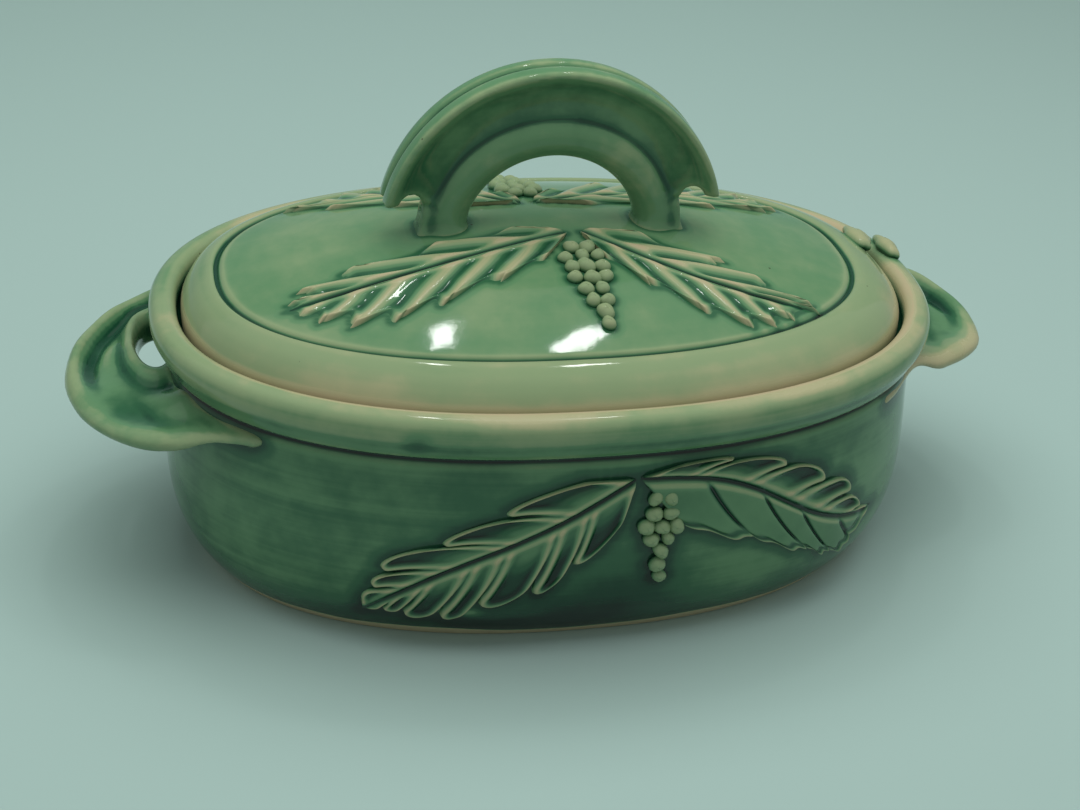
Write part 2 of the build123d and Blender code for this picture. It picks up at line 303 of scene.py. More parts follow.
def glaze_material(name, thickness, mottle, streak):
    """Celadon over buff clay. thickness is its mean, which the mesh's glaze attribute moves up and down.

    mottle is how much it also varies in clouds and patches, and streak in level rings.
    """
    material = bpy.data.materials.new(name)
    material.use_nodes = True
    tree = material.node_tree
    tree.nodes.clear()
    place = linked(tree, "ShaderNodeTexCoord").outputs["Object"]
    carried = linked(tree, "ShaderNodeAttribute", attribute_name="glaze").outputs["Fac"]

    clouds = maths(tree, "SUBTRACT", noise(tree, place, 26.0, 4.0), 0.5)
    patches = maths(tree, "SUBTRACT", noise(tree, place, 95.0, 3.0), 0.5)
    layers = stretched(tree, place, (5.0, 5.0, 260.0))
    rings = maths(tree, "SUBTRACT", noise(tree, layers, 1.0, 3.0, 0.6), 0.5)
    depth = maths(tree, "ADD", carried, thickness)
    depth = maths(tree, "MULTIPLY_ADD", clouds, 2.2 * mottle, depth)
    depth = maths(tree, "MULTIPLY_ADD", patches, 0.8 * mottle, depth)
    depth = maths(tree, "MULTIPLY_ADD", rings, 2.0 * streak, depth, clamp=True)
    colour = speckled(tree, place, glaze_colour(tree, depth))

    # Where the coat is thin the clay's roughness comes through
    fine = noise(tree, place, 520.0, 2.0)
    bare = linked(tree, "ShaderNodeMapRange", {
        "Value": depth, "From Min": 0.02, "From Max": 0.22, "To Min": BARE_ROUGHNESS, "To Max": 0.0,
    })
    rough = maths(tree, "MULTIPLY_ADD", fine, 0.03, bare.outputs["Result"])
    rough = maths(tree, "ADD", rough, GLAZE_ROUGHNESS)
    # The skin undulates, with faint rings and pits
    lines = maths(tree, "MULTIPLY_ADD", rings, 1.6, fine)
    swell = noise(tree, place, 60.0, 1.0)
    skin = maths(tree, "MULTIPLY_ADD", swell, 2.0, maths(tree, "MULTIPLY", lines, 0.12))
    bump = linked(tree, "ShaderNodeBump", {"Height": skin, "Strength": 0.35, "Distance": SKIN_RELIEF})

    shader = linked(tree, "ShaderNodeBsdfPrincipled", {
        "Base Color": colour, "Roughness": rough, "Normal": bump.outputs["Normal"], "IOR": GLAZE_IOR,
    })
    linked(tree, "ShaderNodeOutputMaterial", {"Surface": shader.outputs["BSDF"]})
    return material


# -------- dish

# Profile of the dish's outside as (inset, height), from the foot to the crown of the rim
OUTSIDE = [
    (24, 0), (20.6, 0), (19, 2), (16.4, 5.2), (12, 11.5), (7.8, 21), (5.4, 33), (4.9, 46),
    (5.4, 60), (6.4, 74), (6.7, 83), (7, 86), (8.6, 87.4), (8.4, 88.3), (5.6, 89.6), (4, 92.4),
    (2.6, 95.6), (0.9, 98.6), (0.5, 101.5), (1, 104.6), (3.2, 107.2), (6.6, 108),
]
BELLY_LINE = softened(OUTSIDE[:14])  # up to the groove under the band
# and of its inside, from the crown of the rim over the ledge to the floor
FLOOR_HEIGHT = 8.0
INSIDE = [
    (6.6, 108), (9.6, 107.4), (11.4, 105.2), (11.7, 101), (11.8, 98.6), (12.6, 97.9), (21, 97.9),
    (22.2, 97.2), (22.4, 95), (19, 91), (14.9, 85.5), (13.5, 75), (12.5, 60), (11.9, 45),
    (12.8, 33), (16, 22), (22, 13), (30, 8.6), (36, FLOOR_HEIGHT),
]
BAND_HEIGHT = 88.5  # lower edge of the band under the rim
CROWN_START = 104.0  # from here up, the rim's glaze thins towards its crown
WIPED_HEIGHT = 5.0  # the foot is bare clay up to about here
DARKER_BELOW_HEIGHT = 26.0  # below this the glaze thickens towards the foot
# Places on the front made darker (change more than 0) or paler (less than 0): x, height, half-width,
# half-height, change
FRONT_PATCHES = [
    (2, 20, 34, 17, 0.30), (-36, 11, 30, 6, 0.34), (-57, 22, 8, 2.8, -0.60),
    (-47, 19, 6, 2.4, -0.50), (-67, 97, 5, 4.5, 0.30), (64, 30, 26, 16, -0.10),
    (-105, 60, 26, 20, -0.06), (-80, 14, 30, 9, 0.16), (118, 55, 26, 30, -0.10),
]


def belly_inset(height):
    """The outside's inset at a height on the belly."""
    return np.interp(height, BELLY_LINE[:, 1], BELLY_LINE[:, 0])


def ring_points(profile, wobble, seed):
    """Points of every ring of a profile, as rows, and each point's place round the rim."""
    distance = np.arange(RING_COUNT) / RING_COUNT * PERIMETER
    x, y, nx, ny = plan_at(distance)
    rows = []
    for inset, height in profile:
        reach = inset + strayed(wobble, distance, height, seed)
        rows.append(np.stack([x - reach * nx, y - reach * ny, np.full(RING_COUNT, height)], 1))
    return np.array(rows), distance


def flattened(row, share, height):
    """A ring shrunk towards the middle of its oval, at one height."""
    return row * (share, share, 0) + (0, 0, height)


def centre_rows(row, height, steps):
    """Rings that close a row towards the middle of its oval, ending near a point."""
    return np.array([flattened(row, share, height) for share in np.linspace(1, 0.03, steps + 1)[1:]])


def closed_shell(rows):
    """Points, quads and end triangles of rows of rings, with a middle point at each end."""
    count = rows.shape[1]
    points = np.vstack([rows.reshape(-1, 3), rows[0].mean(0), rows[-1].mean(0)])
    last = (len(rows) - 1) * count
    fans = [((i + 1) % count, i, len(points) - 2) for i in range(count)]
    fans += [(last + i, last + (i + 1) % count, len(points) - 1) for i in range(count)]
    return points, ring_faces(len(rows), count), fans


def pooling(points, quads, thin, pool=0.42, sharp_mm=0.10, broad_mm=0.9):
    """Glaze that a form adds or loses: up to thin less on what stands out, up to pool more in what lies back.

    sharp_mm and broad_mm are how far a point must stand out of its near and its wider surroundings for that.
    """
    sharp = np.clip(standing_out(points, quads, 6) / sharp_mm, -1, 1)
    broad = np.clip(standing_out(points, quads, 60) / broad_mm, -1, 1)
    out = np.clip(0.6 * sharp + 0.7 * broad, -1, 1)
    return np.where(out > 0, -thin * out, -pool * out)


def dish_coat(glaze, points, place, outer):
    """The dish's glaze: thicker towards the foot, thicker or thinner in patches on the front, wiped off the
    foot, and thinner on the band, the rim and the ledge inside. outer says which points are outside.
    """
    x, y, height = points.T
    # Darker towards the foot: the coat is made thicker below about that height, more so lower down
    near_foot = np.clip((DARKER_BELOW_HEIGHT + 6 * wander(place, height, 3.0) - height) / DARKER_BELOW_HEIGHT, 0, 1)
    glaze += np.where(outer & (height > 2.2), 0.30 * near_foot**1.5, 0)
    front = outer & (y < 0)
    for patch_x, patch_z, wide, tall, change in FRONT_PATCHES:
        spread = np.exp(-((x - patch_x) / wide) ** 2 - ((height - patch_z) / tall) ** 2)
        glaze += np.where(front, change * spread, 0)
    wiped = WIPED_HEIGHT + 1.4 * wander(place * 3, 0, 5.0)
    glaze -= np.where(outer, 1.0 - eased((height - wiped) / 1.2), 0)
    # The band and the rim carry a thinner coat, thinnest at the crown, and the crown and the ledge inside are
    # thinner and paler away from the left end
    patchy = 0.5 + 0.5 * wander(place * 3, height, 2.0)
    glaze -= np.where(outer, (0.02 + 0.08 * patchy) * np.clip((height - BAND_HEIGHT) / 3, 0, 1), 0)
    past_left_end = eased((x + 170.0) / 110.0)
    crown = np.clip((height - CROWN_START) / 4.0, 0, 1) * (0.02 + 0.06 * patchy + 0.12 * past_left_end)
    return glaze - crown - np.where(~outer & (height > 96), 0.12 + 0.10 * past_left_end, 0)


def make_dish():
    """The dish's shell: foot, belly, band, rim, ledge, inside and floor."""
    outside = evenly(softened(OUTSIDE), RING_SPACING * 0.62)
    inside = evenly(softened(INSIDE), RING_SPACING * 1.25)
    walls, distance = ring_points(np.vstack([outside, inside[1:]]), DISH_WOBBLE, DISH_SEED)
    base = centre_rows(walls[0], 0.0, 12)[::-1]
    floor = centre_rows(walls[-1], FLOOR_HEIGHT, 16)
    rows = np.vstack([base, walls, floor])
    points, quads, fans = closed_shell(rows)
    place = np.concatenate([np.tile(distance, len(rows)), [0, 0]])
    outer_rows = np.arange(len(rows)) < len(base) + len(outside)
    outer = np.concatenate([np.repeat(outer_rows, RING_COUNT), [True, False]])
    glaze = dish_coat(pooling(points, quads, thin=0.20), points, place, outer)
    return points, quads, fans, glaze


# -------- lid

# Profile of the lid's border as (inset, height), from inside its foot round to the groove
LID_EDGE = [
    (24.2, 98.6), (23.4, 98.05), (14.4, 98.05), (13.4, 98.6), (13.3, 100), (13.3, 103.4), (13.8, 105.8),
    (15.2, 108.4), (17.6, 111.5), (21, 114.6), (25, 116.8), (28.5, 118.1), (29.8, 117.6),
]
LID_BODY_HEIGHT = 104.0  # above this the border leans off centre with the groove
LID_UNDER_TOP = 131.0  # highest point of the hollow underneath
LID_UNDER_EDGE = 107.0  # and its height where it meets the border's wall
CROWN_TOP = CROWN_HEIGHT - 0.4
CROWN_POWER = 1.7  # how the crown falls away: 2 is a parabola
GROOVE_INSET = 30.4
GROOVE_HEIGHT = 117.6
GROOVE_DEPTH = 1.6
GROOVE_SHIFT = -3.5  # the groove was cut a little off centre


def crown_share(x, y):
    """How far out a point of the crown lies: 0 in the middle, 1 on the groove."""
    return oval_share(x - GROOVE_SHIFT, y, HALF_LENGTH - GROOVE_INSET, HALF_WIDTH - GROOVE_INSET)


def crown_at(x, y):
    """The crown's height."""
    share = np.clip(crown_share(x, y), 0, 1.15)
    return CROWN_TOP - (CROWN_TOP - GROOVE_HEIGHT) * share**CROWN_POWER


def crown_rows(distance):
    """Rings of the crown, from the groove in to the middle."""
    x, y, nx, ny = plan_at(distance)
    groove_x, groove_y = x - GROOVE_INSET * nx, y - GROOVE_INSET * ny
    rows = []
    for share in np.concatenate([np.linspace(1.0, 0.93, 13), np.linspace(0.92, 0.03, 62)]):
        flat_x, flat_y = groove_x * share + GROOVE_SHIFT, groove_y * share
        cut = GROOVE_DEPTH * math.exp(-(((1 - share) - 0.006) / 0.011) ** 2)
        rows.append(np.column_stack([flat_x, flat_y, crown_at(flat_x, flat_y) - cut]))
    return np.array(rows)


def under_rows(edge):
    """Rings of the hollow under the lid, from its middle out and down to the border's first ring."""
    rows = []
    for share in np.linspace(0.03, 0.995, 40):
        fall = (LID_UNDER_TOP - LID_UNDER_EDGE) * share**CROWN_POWER
        rows.append(flattened(edge, share, LID_UNDER_TOP - fall))
    return np.array(rows + [flattened(edge, 1, height) for height in (105.0, 102.5, 100.2)])


def make_lid():
    """The lid's shell: hollow, border, groove and crown."""
    profile = evenly(softened(LID_EDGE), 1.0)
    border, distance = ring_points(profile, LID_WOBBLE, LID_SEED)
    for index, (inset, height) in enumerate(profile):
        if height > LID_BODY_HEIGHT:
            border[index, :, 0] += GROOVE_SHIFT * np.clip((inset - 15) / (GROOVE_INSET - 15), 0, 1)
    under = under_rows(border[0])
    rows = np.vstack([under, border, crown_rows(distance)])
    points, quads, fans = closed_shell(rows)
    glaze = pooling(points, quads, thin=0.15)
    top = np.concatenate([np.repeat(np.arange(len(rows)) >= len(under), RING_COUNT), [False, True]])
    place = np.concatenate([np.tile(distance, len(rows)), [0, 0]])
    # The border carries a thinner coat than the crown, and its foot a thinner one still
    out = np.clip((crown_share(points[:, 0], points[:, 1]) - 1.04) / 0.09, 0, 1)
    glaze -= top * out * (0.07 + 0.06 * wander(place * 3, points[:, 2], 4.0))
    glaze -= np.where(top, 0.14 * (1 - eased((points[:, 2] - LID_BODY_HEIGHT) / 4.0)), 0)
    return points, quads, fans, glaze


# -------- clay modelled as fields

def softmin(a, b, blend):
    """The lower of two fields, with a soft seam: joins clay to clay."""
    mix = np.clip(0.5 + 0.5 * (b - a) / blend, 0, 1)
    return b + (a - b) * mix - blend * mix * (1 - mix)


def softmax(a, b, blend):
    """The higher of two fields, with a rounded edge: keeps what both hold."""
    return -softmin(-a, -b, blend)


def clay_surface(field, low, high, cell):
    """Quads over the surface where the field is 0, one point in each cell that the surface passes through."""
    axes = [np.arange(a, b + cell, cell) for a, b in zip(low, high)]
    value = field(*np.meshgrid(*axes, indexing="ij"))
    inside = value < 0
    shape = tuple(n - 1 for n in value.shape)
    total, count = np.zeros((*shape, 3)), np.zeros(shape)
    for axis in range(3):
        for corner in ((0, 0), (0, 1), (1, 0), (1, 1)):
            start = np.insert(corner, axis, 0)
            end = start + (np.arange(3) == axis)
            first = tuple(slice(s, s + n) for s, n in zip(start, shape))
            second = tuple(slice(s, s + n) for s, n in zip(end, shape))
            crossed = inside[first] != inside[second]
            gap = np.where(crossed, value[first] - value[second], 1.0)
            total += start * crossed[..., None]
            total[..., axis] += np.where(crossed, value[first] / gap, 0)
            count += crossed
    used = count > 0
    number = np.full(shape, -1)
    number[used] = np.arange(used.sum())
    place = np.argwhere(used) + total[used] / count[used][:, None]
    points = np.array([axis[0] for axis in axes]) + place * cell
    quads = []
    for axis in range(3):
        first = tuple(slice(0, -1) if a == axis else slice(1, -1) for a in range(3))
        second = tuple(slice(1, None) if a == axis else slice(1, -1) for a in range(3))
        crossed = inside[first] != inside[second]
        where = np.argwhere(crossed)
        corners = [np.insert(corner, axis, 0) for corner in ((0, 0), (1, 0), (1, 1), (0, 1))]
        ring = np.stack([number[tuple((where + corner).T)] for corner in corners], 1)
        outward = inside[first][crossed] ^ (axis == 1)
        quads.append(np.where(outward[:, None], ring, ring[:, ::-1]))
    return points, np.vstack(quads)


CREASE_CENTRE = 138.0  # height that the crease between the arch's trough and its roll turns round
CREST_CENTRE = 132.3  # and the height for its crest
CREST_RADIUS = ARCH_TOP - CREST_CENTRE - 0.2
CREST_END = 147.7  # lowest point of the crest's two tips
CUSP = (56.9, 146.9, 4.7)  # hollow between a tip and its leg: x, height and radius
CREASE_HALF, CREASE_RISE = 48.0, 43.5  # the crease's half-length, and its top over its centre
OPENING_RADIUS = 36.1  # of the opening for the fingers
OPENING_DROP = 8.5  # how far its centre lies below the crease's
WEB_HALF = 4.7  # half-thickness of the trough's web where it is thinnest
ROLL_HALF = 8.4  # and of the roll
LEG_FOOT, LEG_TOP = 141.0, 158.0  # heights between which the legs narrow
ARCH_CELL, LUG_CELL = 0.75, 0.95  # of the grids that the fields are meshed on


def arch_field(x, y, z):
    """The lid's handle: a crest with two lips, a trough on each face, a crease and a thick roll on legs."""
    sway = 0.35 * np.sin(x / 21.0) + 0.25 * np.sin(z / 13.0 + 1.0)
    y = y + sway
    side = np.abs(x)
    lift = z - CREASE_CENTRE
    upper = lift > 0
    radius = np.where(upper, np.hypot(side, lift), side)
    sin = np.where(upper, lift / np.maximum(radius, 1e-6), 0)
    cos = np.sqrt(1 - sin**2)
    crease = CREASE_HALF * CREASE_RISE / np.sqrt((CREASE_RISE * cos) ** 2 + (CREASE_HALF * sin) ** 2)
    inner = -OPENING_DROP * sin + np.sqrt(OPENING_RADIUS**2 - (OPENING_DROP * cos) ** 2)

    wide = np.abs(y)
    lips = 2.3 * bump_at(y, 0.6, 1.5) + 0.5 * np.clip(wide / 9.0, 0, 2) ** 3
    from_crest = CREST_RADIUS - np.hypot(side, z - CREST_CENTRE)
    rise = np.clip((radius - crease) / np.maximum(radius - crease + from_crest, 1e-3), 0, 1)
    flare = 4.6 * rise**1.7 + 1.0 * bump_at(rise, 0.88, 0.14)
    half_width = WEB_HALF + flare * (0.9 + 0.1 * cos)
    web = softmax(wide - half_width, -3.0 - (radius - crease), 1.5)
    crest = softmax(web, lips - from_crest, 2.2)
    crest = softmax(crest, CREST_END - z, 1.0)
    crest = softmax(crest, CUSP[2] - np.hypot(side - CUSP[0], z - CUSP[1]), 0.9)
    leg_half = 5.9 - 4.4 * eased((z - LEG_FOOT) / (LEG_TOP - LEG_FOOT))
    leg = softmax(softmax(wide - leg_half, -3.0 - (radius - crease), 1.5), radius - 52.4, 2.5)
    leg = np.maximum(leg, z - 160.0)
    middle, half = (inner + crease) / 2, (crease - inner) / 2 + 0.4
    across = np.abs((radius - middle) / half)
    roll = ((across**2.3 + (wide / ROLL_HALF) ** 2.3) ** (1 / 2.3) - 1) * np.minimum(half, 8.3)
    clay = softmin(softmin(crest, leg, 2.0), roll, 0.8 + 1.8 * eased((LEG_TOP - z) / 14.0))
    floor = crown_at(x, y)
    clay -= 1.7 * np.exp(-np.maximum(z - floor, 0) / 3.4)
    return np.maximum(clay, floor - 2.0 - z)


def make_arch():
    low = (-72.0, -14.0, 131.0)
    high = (72.0, 14.0, ARCH_TOP + 2)
    return clay_surface(arch_field, low, high, ARCH_CELL)


# Outer edge of each lug from above, from its front root round to its back root, as (outward along X, y).
# The right lug sits further back and is shorter in front.
LEFT_LUG = [
    (112, -60), (120, -77), (131, -72.5), (142, -65.5), (152, -62.5), (163, -61.5),
    (174, -54), (183, -43.5), (190, -30), (193.5, -9), (191.5, 10), (186, 27), (176, 44),
    (162, 58), (146, 68), (130, 74), (108, 60), (96, 0), (112, -60),
]
RIGHT_LUG = [
    (112, -50), (124, -72), (135, -62), (146, -46.5), (157, -37), (168, -30.5),
    (180, -24), (190.5, -13), (193.8, 5), (191.5, 20), (188, 35), (181.5, 50), (170, 62),
    (154, 72), (134, 78), (108, 60), (96, 0), (112, -50),
]
LEFT_SLOT = (156.0, 14.5, 8.5, 21.5)  # finger slot: middle along X and Y, half-width, half-length
RIGHT_SLOT = (156.5, 24.0, 8.0, 22.0)
LUG_TOP, LUG_BOTTOM, LUG_ROOT = 81.4, 70.6, 80.0  # heights of its faces, and of the wall where it is rooted


def edge_distance(x, y, outline):
    """Distance from a closed outline, less than 0 inside it."""
    nearest = np.full(x.shape, 1e9)
    crossings = np.zeros(x.shape, int)
    for (ax, ay), (bx, by) in zip(outline[:-1], outline[1:]):
        dx, dy = bx - ax, by - ay
        share = np.clip(((x - ax) * dx + (y - ay) * dy) / max(dx * dx + dy * dy, 1e-12), 0, 1)
        nearest = np.minimum(nearest, np.hypot(x - ax - share * dx, y - ay - share * dy))
        if ay != by:
            crossings += ((ay > y) != (by > y)) & (x < dx * (y - ay) / dy + ax)
    return np.where(crossings % 2 == 1, -nearest, nearest)


def plan_inset(x, y):
    """How far inside the rim's plan a point lies."""
    share = oval_share(x, y, HALF_LENGTH, HALF_WIDTH)
    slope_x = np.abs(x / HALF_LENGTH) ** (PLAN_POWER - 1) / HALF_LENGTH
    slope_y = np.abs(y / HALF_WIDTH) ** (PLAN_POWER - 1) / HALF_WIDTH
    slope = np.hypot(slope_x, slope_y) / np.maximum(share, 0.2) ** (PLAN_POWER - 1)
    return (1 - share) / np.maximum(slope, 1e-6)


def lug_field(outline, slot, back, tip_y):
    """A strap bent into a loop, as a field. back is where its trough begins, tip_y the middle of its edge.

    At the back its outer lip turns up, with a trough inside it. In front it is broad and nearly flat, then
    thins and rises to the wall under the band. A rolled lip goes round the finger slot.
    """
    outline = softened(outline, 2)
    slot_x, slot_y, half_width, half_length = slot

    def field(x, y, z):
        flat_x, flat_y = x[:, :, 0], y[:, :, 0]
        into = -edge_distance(flat_x, flat_y, outline)[:, :, None]
        across, along = np.abs(x - slot_x) / half_width, np.abs(y - slot_y) / half_length
        hole = ((across**2.2 + along**2.2) ** (1 / 2.2) - 1) * half_width
        off_wall = belly_inset(LUG_ROOT) - plan_inset(x, y)
        root = eased(1 - off_wall / 17.0) * eased((tip_y - 14.0 - y) / 14.0)
        rear = eased((y - back + 14.0) / 44.0)
        lip = 0.4 + 2.1 * rear
        top = LUG_TOP + lip * bump_at(into, 3.6, 3.4) - 3.4 * rear * bump_at(into, 10.0, 4.2)
        top -= 0.9 * (1 - rear) * bump_at(into, 15.0, 8.0) * (1 - root)
        top -= 1.5 * (1 - rear) * bump_at(into, 0.0, 5.0)
        top = top + 3.6 * bump_at(hole, 2.8, 2.8) + 2.6 * root
        top = top + 0.35 * np.sin(x / 6.0 + y / 9.0) + 0.3 * np.sin(x / 11.0 - y / 5.0)
        bottom = LUG_BOTTOM + (1.8 + 2.6 * (1 - rear)) * bump_at(into, 0.0, 7.0) + 8.5 * root
        bottom -= 2.4 * bump_at(hole, 1.5, 4.0)
        clay = softmax(softmax(-into, z - top, 4.6), bottom - z, 4.6)
        clay = softmax(clay, -hole, 4.0)
        clear = belly_inset(z) - plan_inset(x, y)
        clay -= 1.5 * np.exp(-np.maximum(clear, 0) / 2.4)
        return np.maximum(clay, -clear - 3.2)

    return field


def make_lug(side):
    """The right lug, or with side -1 the left one, which is mirrored from the +X end."""
    low = (108.0, -86.0, 62.0)
    high = (LUG_REACH + 3.0, 82.0, 92.0)
    if side > 0:
        return clay_surface(lug_field(RIGHT_LUG, RIGHT_SLOT, 4.0, 5.0), low, high, LUG_CELL)
    points, quads = clay_surface(lug_field(LEFT_LUG, LEFT_SLOT, -18.0, -9.0), low, high, LUG_CELL)
    return points * (-1, 1, 1), quads[:, ::-1]


# -------- sprigs

def on_belly(distance, height, lift):
    """A point over the dish's belly: round the rim by distance, at that height, lifted off the clay."""
    x, y, nx, ny = plan_at(distance)
    inset = belly_inset(height) + strayed(DISH_WOBBLE, distance, height, DISH_SEED)
    slope = belly_inset(height + 0.5) - belly_inset(height - 0.5)
    length = np.sqrt(1 + slope**2)
    reach = inset - lift / length
    return np.stack([x - reach * nx, y - reach * ny, height + lift * slope / length], -1)


def on_crown(x, y, lift):
    """A point over the lid's crown, lifted off the clay."""
    height = crown_at(x, y)
    slope_x = crown_at(x + 0.5, y) - crown_at(x - 0.5, y)
    slope_y = crown_at(x, y + 0.5) - crown_at(x, y - 0.5)
    length = np.sqrt(1 + slope_x**2 + slope_y**2)
    return np.stack([x - lift * slope_x / length, y - lift * slope_y / length, height + lift / length], -1)


def belly_place(x):
    """How far round the rim the belly's front is at that x."""
    distance = np.linspace(-PERIMETER / 4, PERIMETER / 4, 400)
    plan_x, _, normal_x, _ = plan_at(distance)
    return float(np.interp(x, plan_x - 5.0 * normal_x, distance))


def lobe_reach(style, phase, cell, rounded):
    """How far a leaf's margin reaches across each of its cells, as a share of the widest."""
    if style == "finger":
        return 0.62 + 0.38 * rounded**0.8
    if style == "fold":
        return 0.80 + 0.20 * np.cos(math.pi * phase) ** 2 + 0.02 * np.sin(5.0 * cell)
    return 0.86 + 0.14 * rounded + 0.035 * np.sin(4 * math.pi * phase + cell)


def finger_relief(t, broad, across_cell, within):
    """Height and change in glaze of hollow lobes with raised rims."""
    parting = 0.10 + 1.35 * eased((t - 0.30) / 0.5)
    height = 1.80 - parting * broad * bump_at(across_cell, 0.0, 1.1)
    height += 0.55 * broad * bump_at(within, 2.1, 1.8)
    height -= (0.35 + 1.25 * eased((t - 0.15) / 0.5)) * broad * eased((within - 1.2) / 3.4)
    coat = 0.30 * broad * eased((t - 0.2) / 0.4) * eased((within - 1.8) / 2.6)
    coat -= 0.22 * broad * bump_at(within, 1.7, 1.2)
    return height, coat + 0.30 * broad * eased((t - 0.45) / 0.3) * bump_at(across_cell, 0, 0.7)


def fold_relief(s, t, phase, cell, broad, from_edge):
    """The same for narrow folds side by side."""
    turn = phase + 0.07 * np.sin(5.0 * t + cell)
    height = 1.05 + 0.75 * broad * np.cos(2 * math.pi * turn) * (1.0 - 0.25 * s)
    height += 0.45 * bump_at(from_edge, 3.0, 2.0)
    height -= 0.30 * np.sin(math.pi * phase) ** 2 * eased((t - 0.5) / 0.3)
    return height, -0.19 * broad * np.cos(2 * math.pi * turn)


def broad_relief(t, rounded, broad, across_cell, from_edge):
    """The same for a nearly flat side with cut veins and a waved, raised edge."""
    vein = broad * eased((0.90 - t) / 0.25)
    height = 1.55 - 0.90 * vein * bump_at(across_cell, 0.0, 0.9)
    height += 0.60 * rounded * broad * eased(from_edge / 6.0)
    height = height - 0.80 * rounded * bump_at(from_edge, 5.0, 2.6) + 0.80 * bump_at(from_edge, 2.1, 1.5)
    coat = 0.34 * vein * bump_at(across_cell, 0.0, 1.1)
    return height, coat + 0.14 * bump_at(from_edge, 5.2, 2.4) - 0.24 * bump_at(from_edge, 2.0, 1.4)


def leaf_side(sign, start, along, bow, width, lobes, peak, lean, style, random):
    """One half of a leaf as (place on the flat, height over the clay, change in glaze) over a grid of veins.

    s runs from the stalk to the tip and t from the midrib to the margin. lobes is how many cells the side
    has, peak is where it is widest, and lean is the veins' angle from the midrib, at the base and at the tip.
    """
    length = np.linalg.norm(along)
    forward = along / length
    left = np.array([-forward[1], forward[0]])
    rows, columns = int(length / 0.5), 46
    s = np.linspace(0, 1, rows)[:, None]
    t = np.linspace(0, 1, columns)[None, :]

    shifts = random.uniform(-0.16, 0.16, lobes - 1)
    bounds = np.concatenate([[0], (np.arange(1, lobes) + shifts) / lobes, [1]])
    cell = np.clip(np.searchsorted(bounds, s, side="right") - 1, 0, lobes - 1)
    low, high = bounds[cell], bounds[cell + 1]
    phase = (s - low) / (high - low)
    size = (1 + random.uniform(-0.10, 0.10, lobes))[cell]

    first = 0.40
    envelope = np.where(s < peak, np.sin(0.5 * math.pi * (first + (1 - first) * s / peak)), 1.0)
    envelope = envelope * np.where(s > peak, np.cos(0.5 * math.pi * (s - peak) / (1 - peak)) ** 1.25, 1.0)
    envelope = envelope * eased(0.35 + s / 0.03)
    rounded = np.sqrt(np.maximum(1 - (2 * phase - 1) ** 2, 0))
    lobe = lobe_reach(style, phase, cell, rounded)
    angle = np.radians(lean[0] + (lean[1] - lean[0]) * s)
    reach = 1.18 * width * envelope * lobe * size / np.sin(angle)
    room = (1 - s) * length / np.maximum(np.cos(angle), 0.2)
    reach = np.minimum(reach, 0.15 * reach + room)

    curl = np.radians(11.0) * t
    direction = np.cos(angle - curl)[..., None] * forward + np.sin(angle - curl)[..., None] * (sign * left)
    sway = bow[0] * np.sin(math.pi * s) + bow[1] * np.sin(2 * math.pi * s)
    place = start + s[..., None] * along + sway[..., None] * left + (t * reach)[..., None] * direction

    from_middle = t * reach * np.sin(angle)
    from_edge = (1 - t) * reach
    across_cell = np.minimum(phase, 1 - phase) * (high - low) * length * np.sin(angle)
    broad = eased(from_middle / 4.0)
    if style == "finger":
        height, coat = finger_relief(t, broad, across_cell, softmin(across_cell, from_edge, 2.5))
    elif style == "fold":
        height, coat = fold_relief(s, t, phase, cell, broad, from_edge)
    else:
        height, coat = broad_relief(t, rounded, broad, across_cell, from_edge)
    # The midrib is a cut line between two low ridges
    height += 0.35 * bump_at(from_middle, 2.4, 1.4)
    height -= (1.45 - 0.5 * s) * bump_at(from_middle, 0.0, 1.15)
    coat = coat + 0.40 * bump_at(from_middle, 0.0, 1.0) - 0.14 * bump_at(from_middle, 2.6, 1.2)
    # It gets thinner towards the tip, and its margin is pressed into the clay under it
    fade = 0.45 + 0.55 * eased((1 - s) * 3.5)
    margin = 4.2 if style == "fold" else 2.6
    height = height * fade * eased(from_edge / margin + 0.02) - 0.45 * (1 - eased(from_edge))
    return place, height, coat


def welded(points, quads, values):
    """Joins points that coincide: returns points, quads, the triangles left of other quads, and values."""
    _, first, number = np.unique(np.round(points, 4), axis=0, return_index=True, return_inverse=True)
    faces = [tuple(dict.fromkeys(quad)) for quad in number.reshape(-1)[quads].tolist()]
    triangles = [face for face in faces if len(face) == 3]
    return points[first], np.array([face for face in faces if len(face) == 4]), triangles, values[first]


def make_leaf(start, tip, bow, sides, surface, seed):
    """A leaf on a surface. sides are the settings of its left and right halves."""
    random = np.random.default_rng(seed)
    start, along = np.array(start, float), np.array(tip, float) - start
    left, right = (
        leaf_side(sign, start, along, bow, random=random, **side) for sign, side in zip((1, -1), sides)
    )
    place, height, coat = (np.concatenate([a[:, ::-1], b[:, 1:]], 1) for a, b in zip(left, right))
    rows, columns = height.shape
    points = surface(place[..., 0], place[..., 1], height).reshape(-1, 3)
    quads = ring_faces(rows, columns, closed_columns=False)
    under = surface(place[..., 0], place[..., 1], np.full(height.shape, -1.0)).reshape(-1, 3)
    glaze = pooling(points, quads, thin=0.11, pool=0.20, sharp_mm=0.24, broad_mm=0.42) + coat.reshape(-1)
    glaze += 0.12 * (1 - eased(height.reshape(-1) + 0.2))
    border = np.concatenate([
        np.arange(columns), np.arange(1, rows) * columns + columns - 1,
        ((rows - 1) * columns + np.arange(columns - 1))[::-1], (np.arange(1, rows - 1) * columns)[::-1],
    ])
    size = len(points)
    walls = np.stack([border + size, np.roll(border, -1) + size, np.roll(border, -1), border], 1)
    faces = np.vstack([quads, quads[:, ::-1] + size, walls])
    shape = welded(np.vstack([points, under]), faces, np.concatenate([glaze, np.full(size, 0.4)]))
    return shape, points[border]


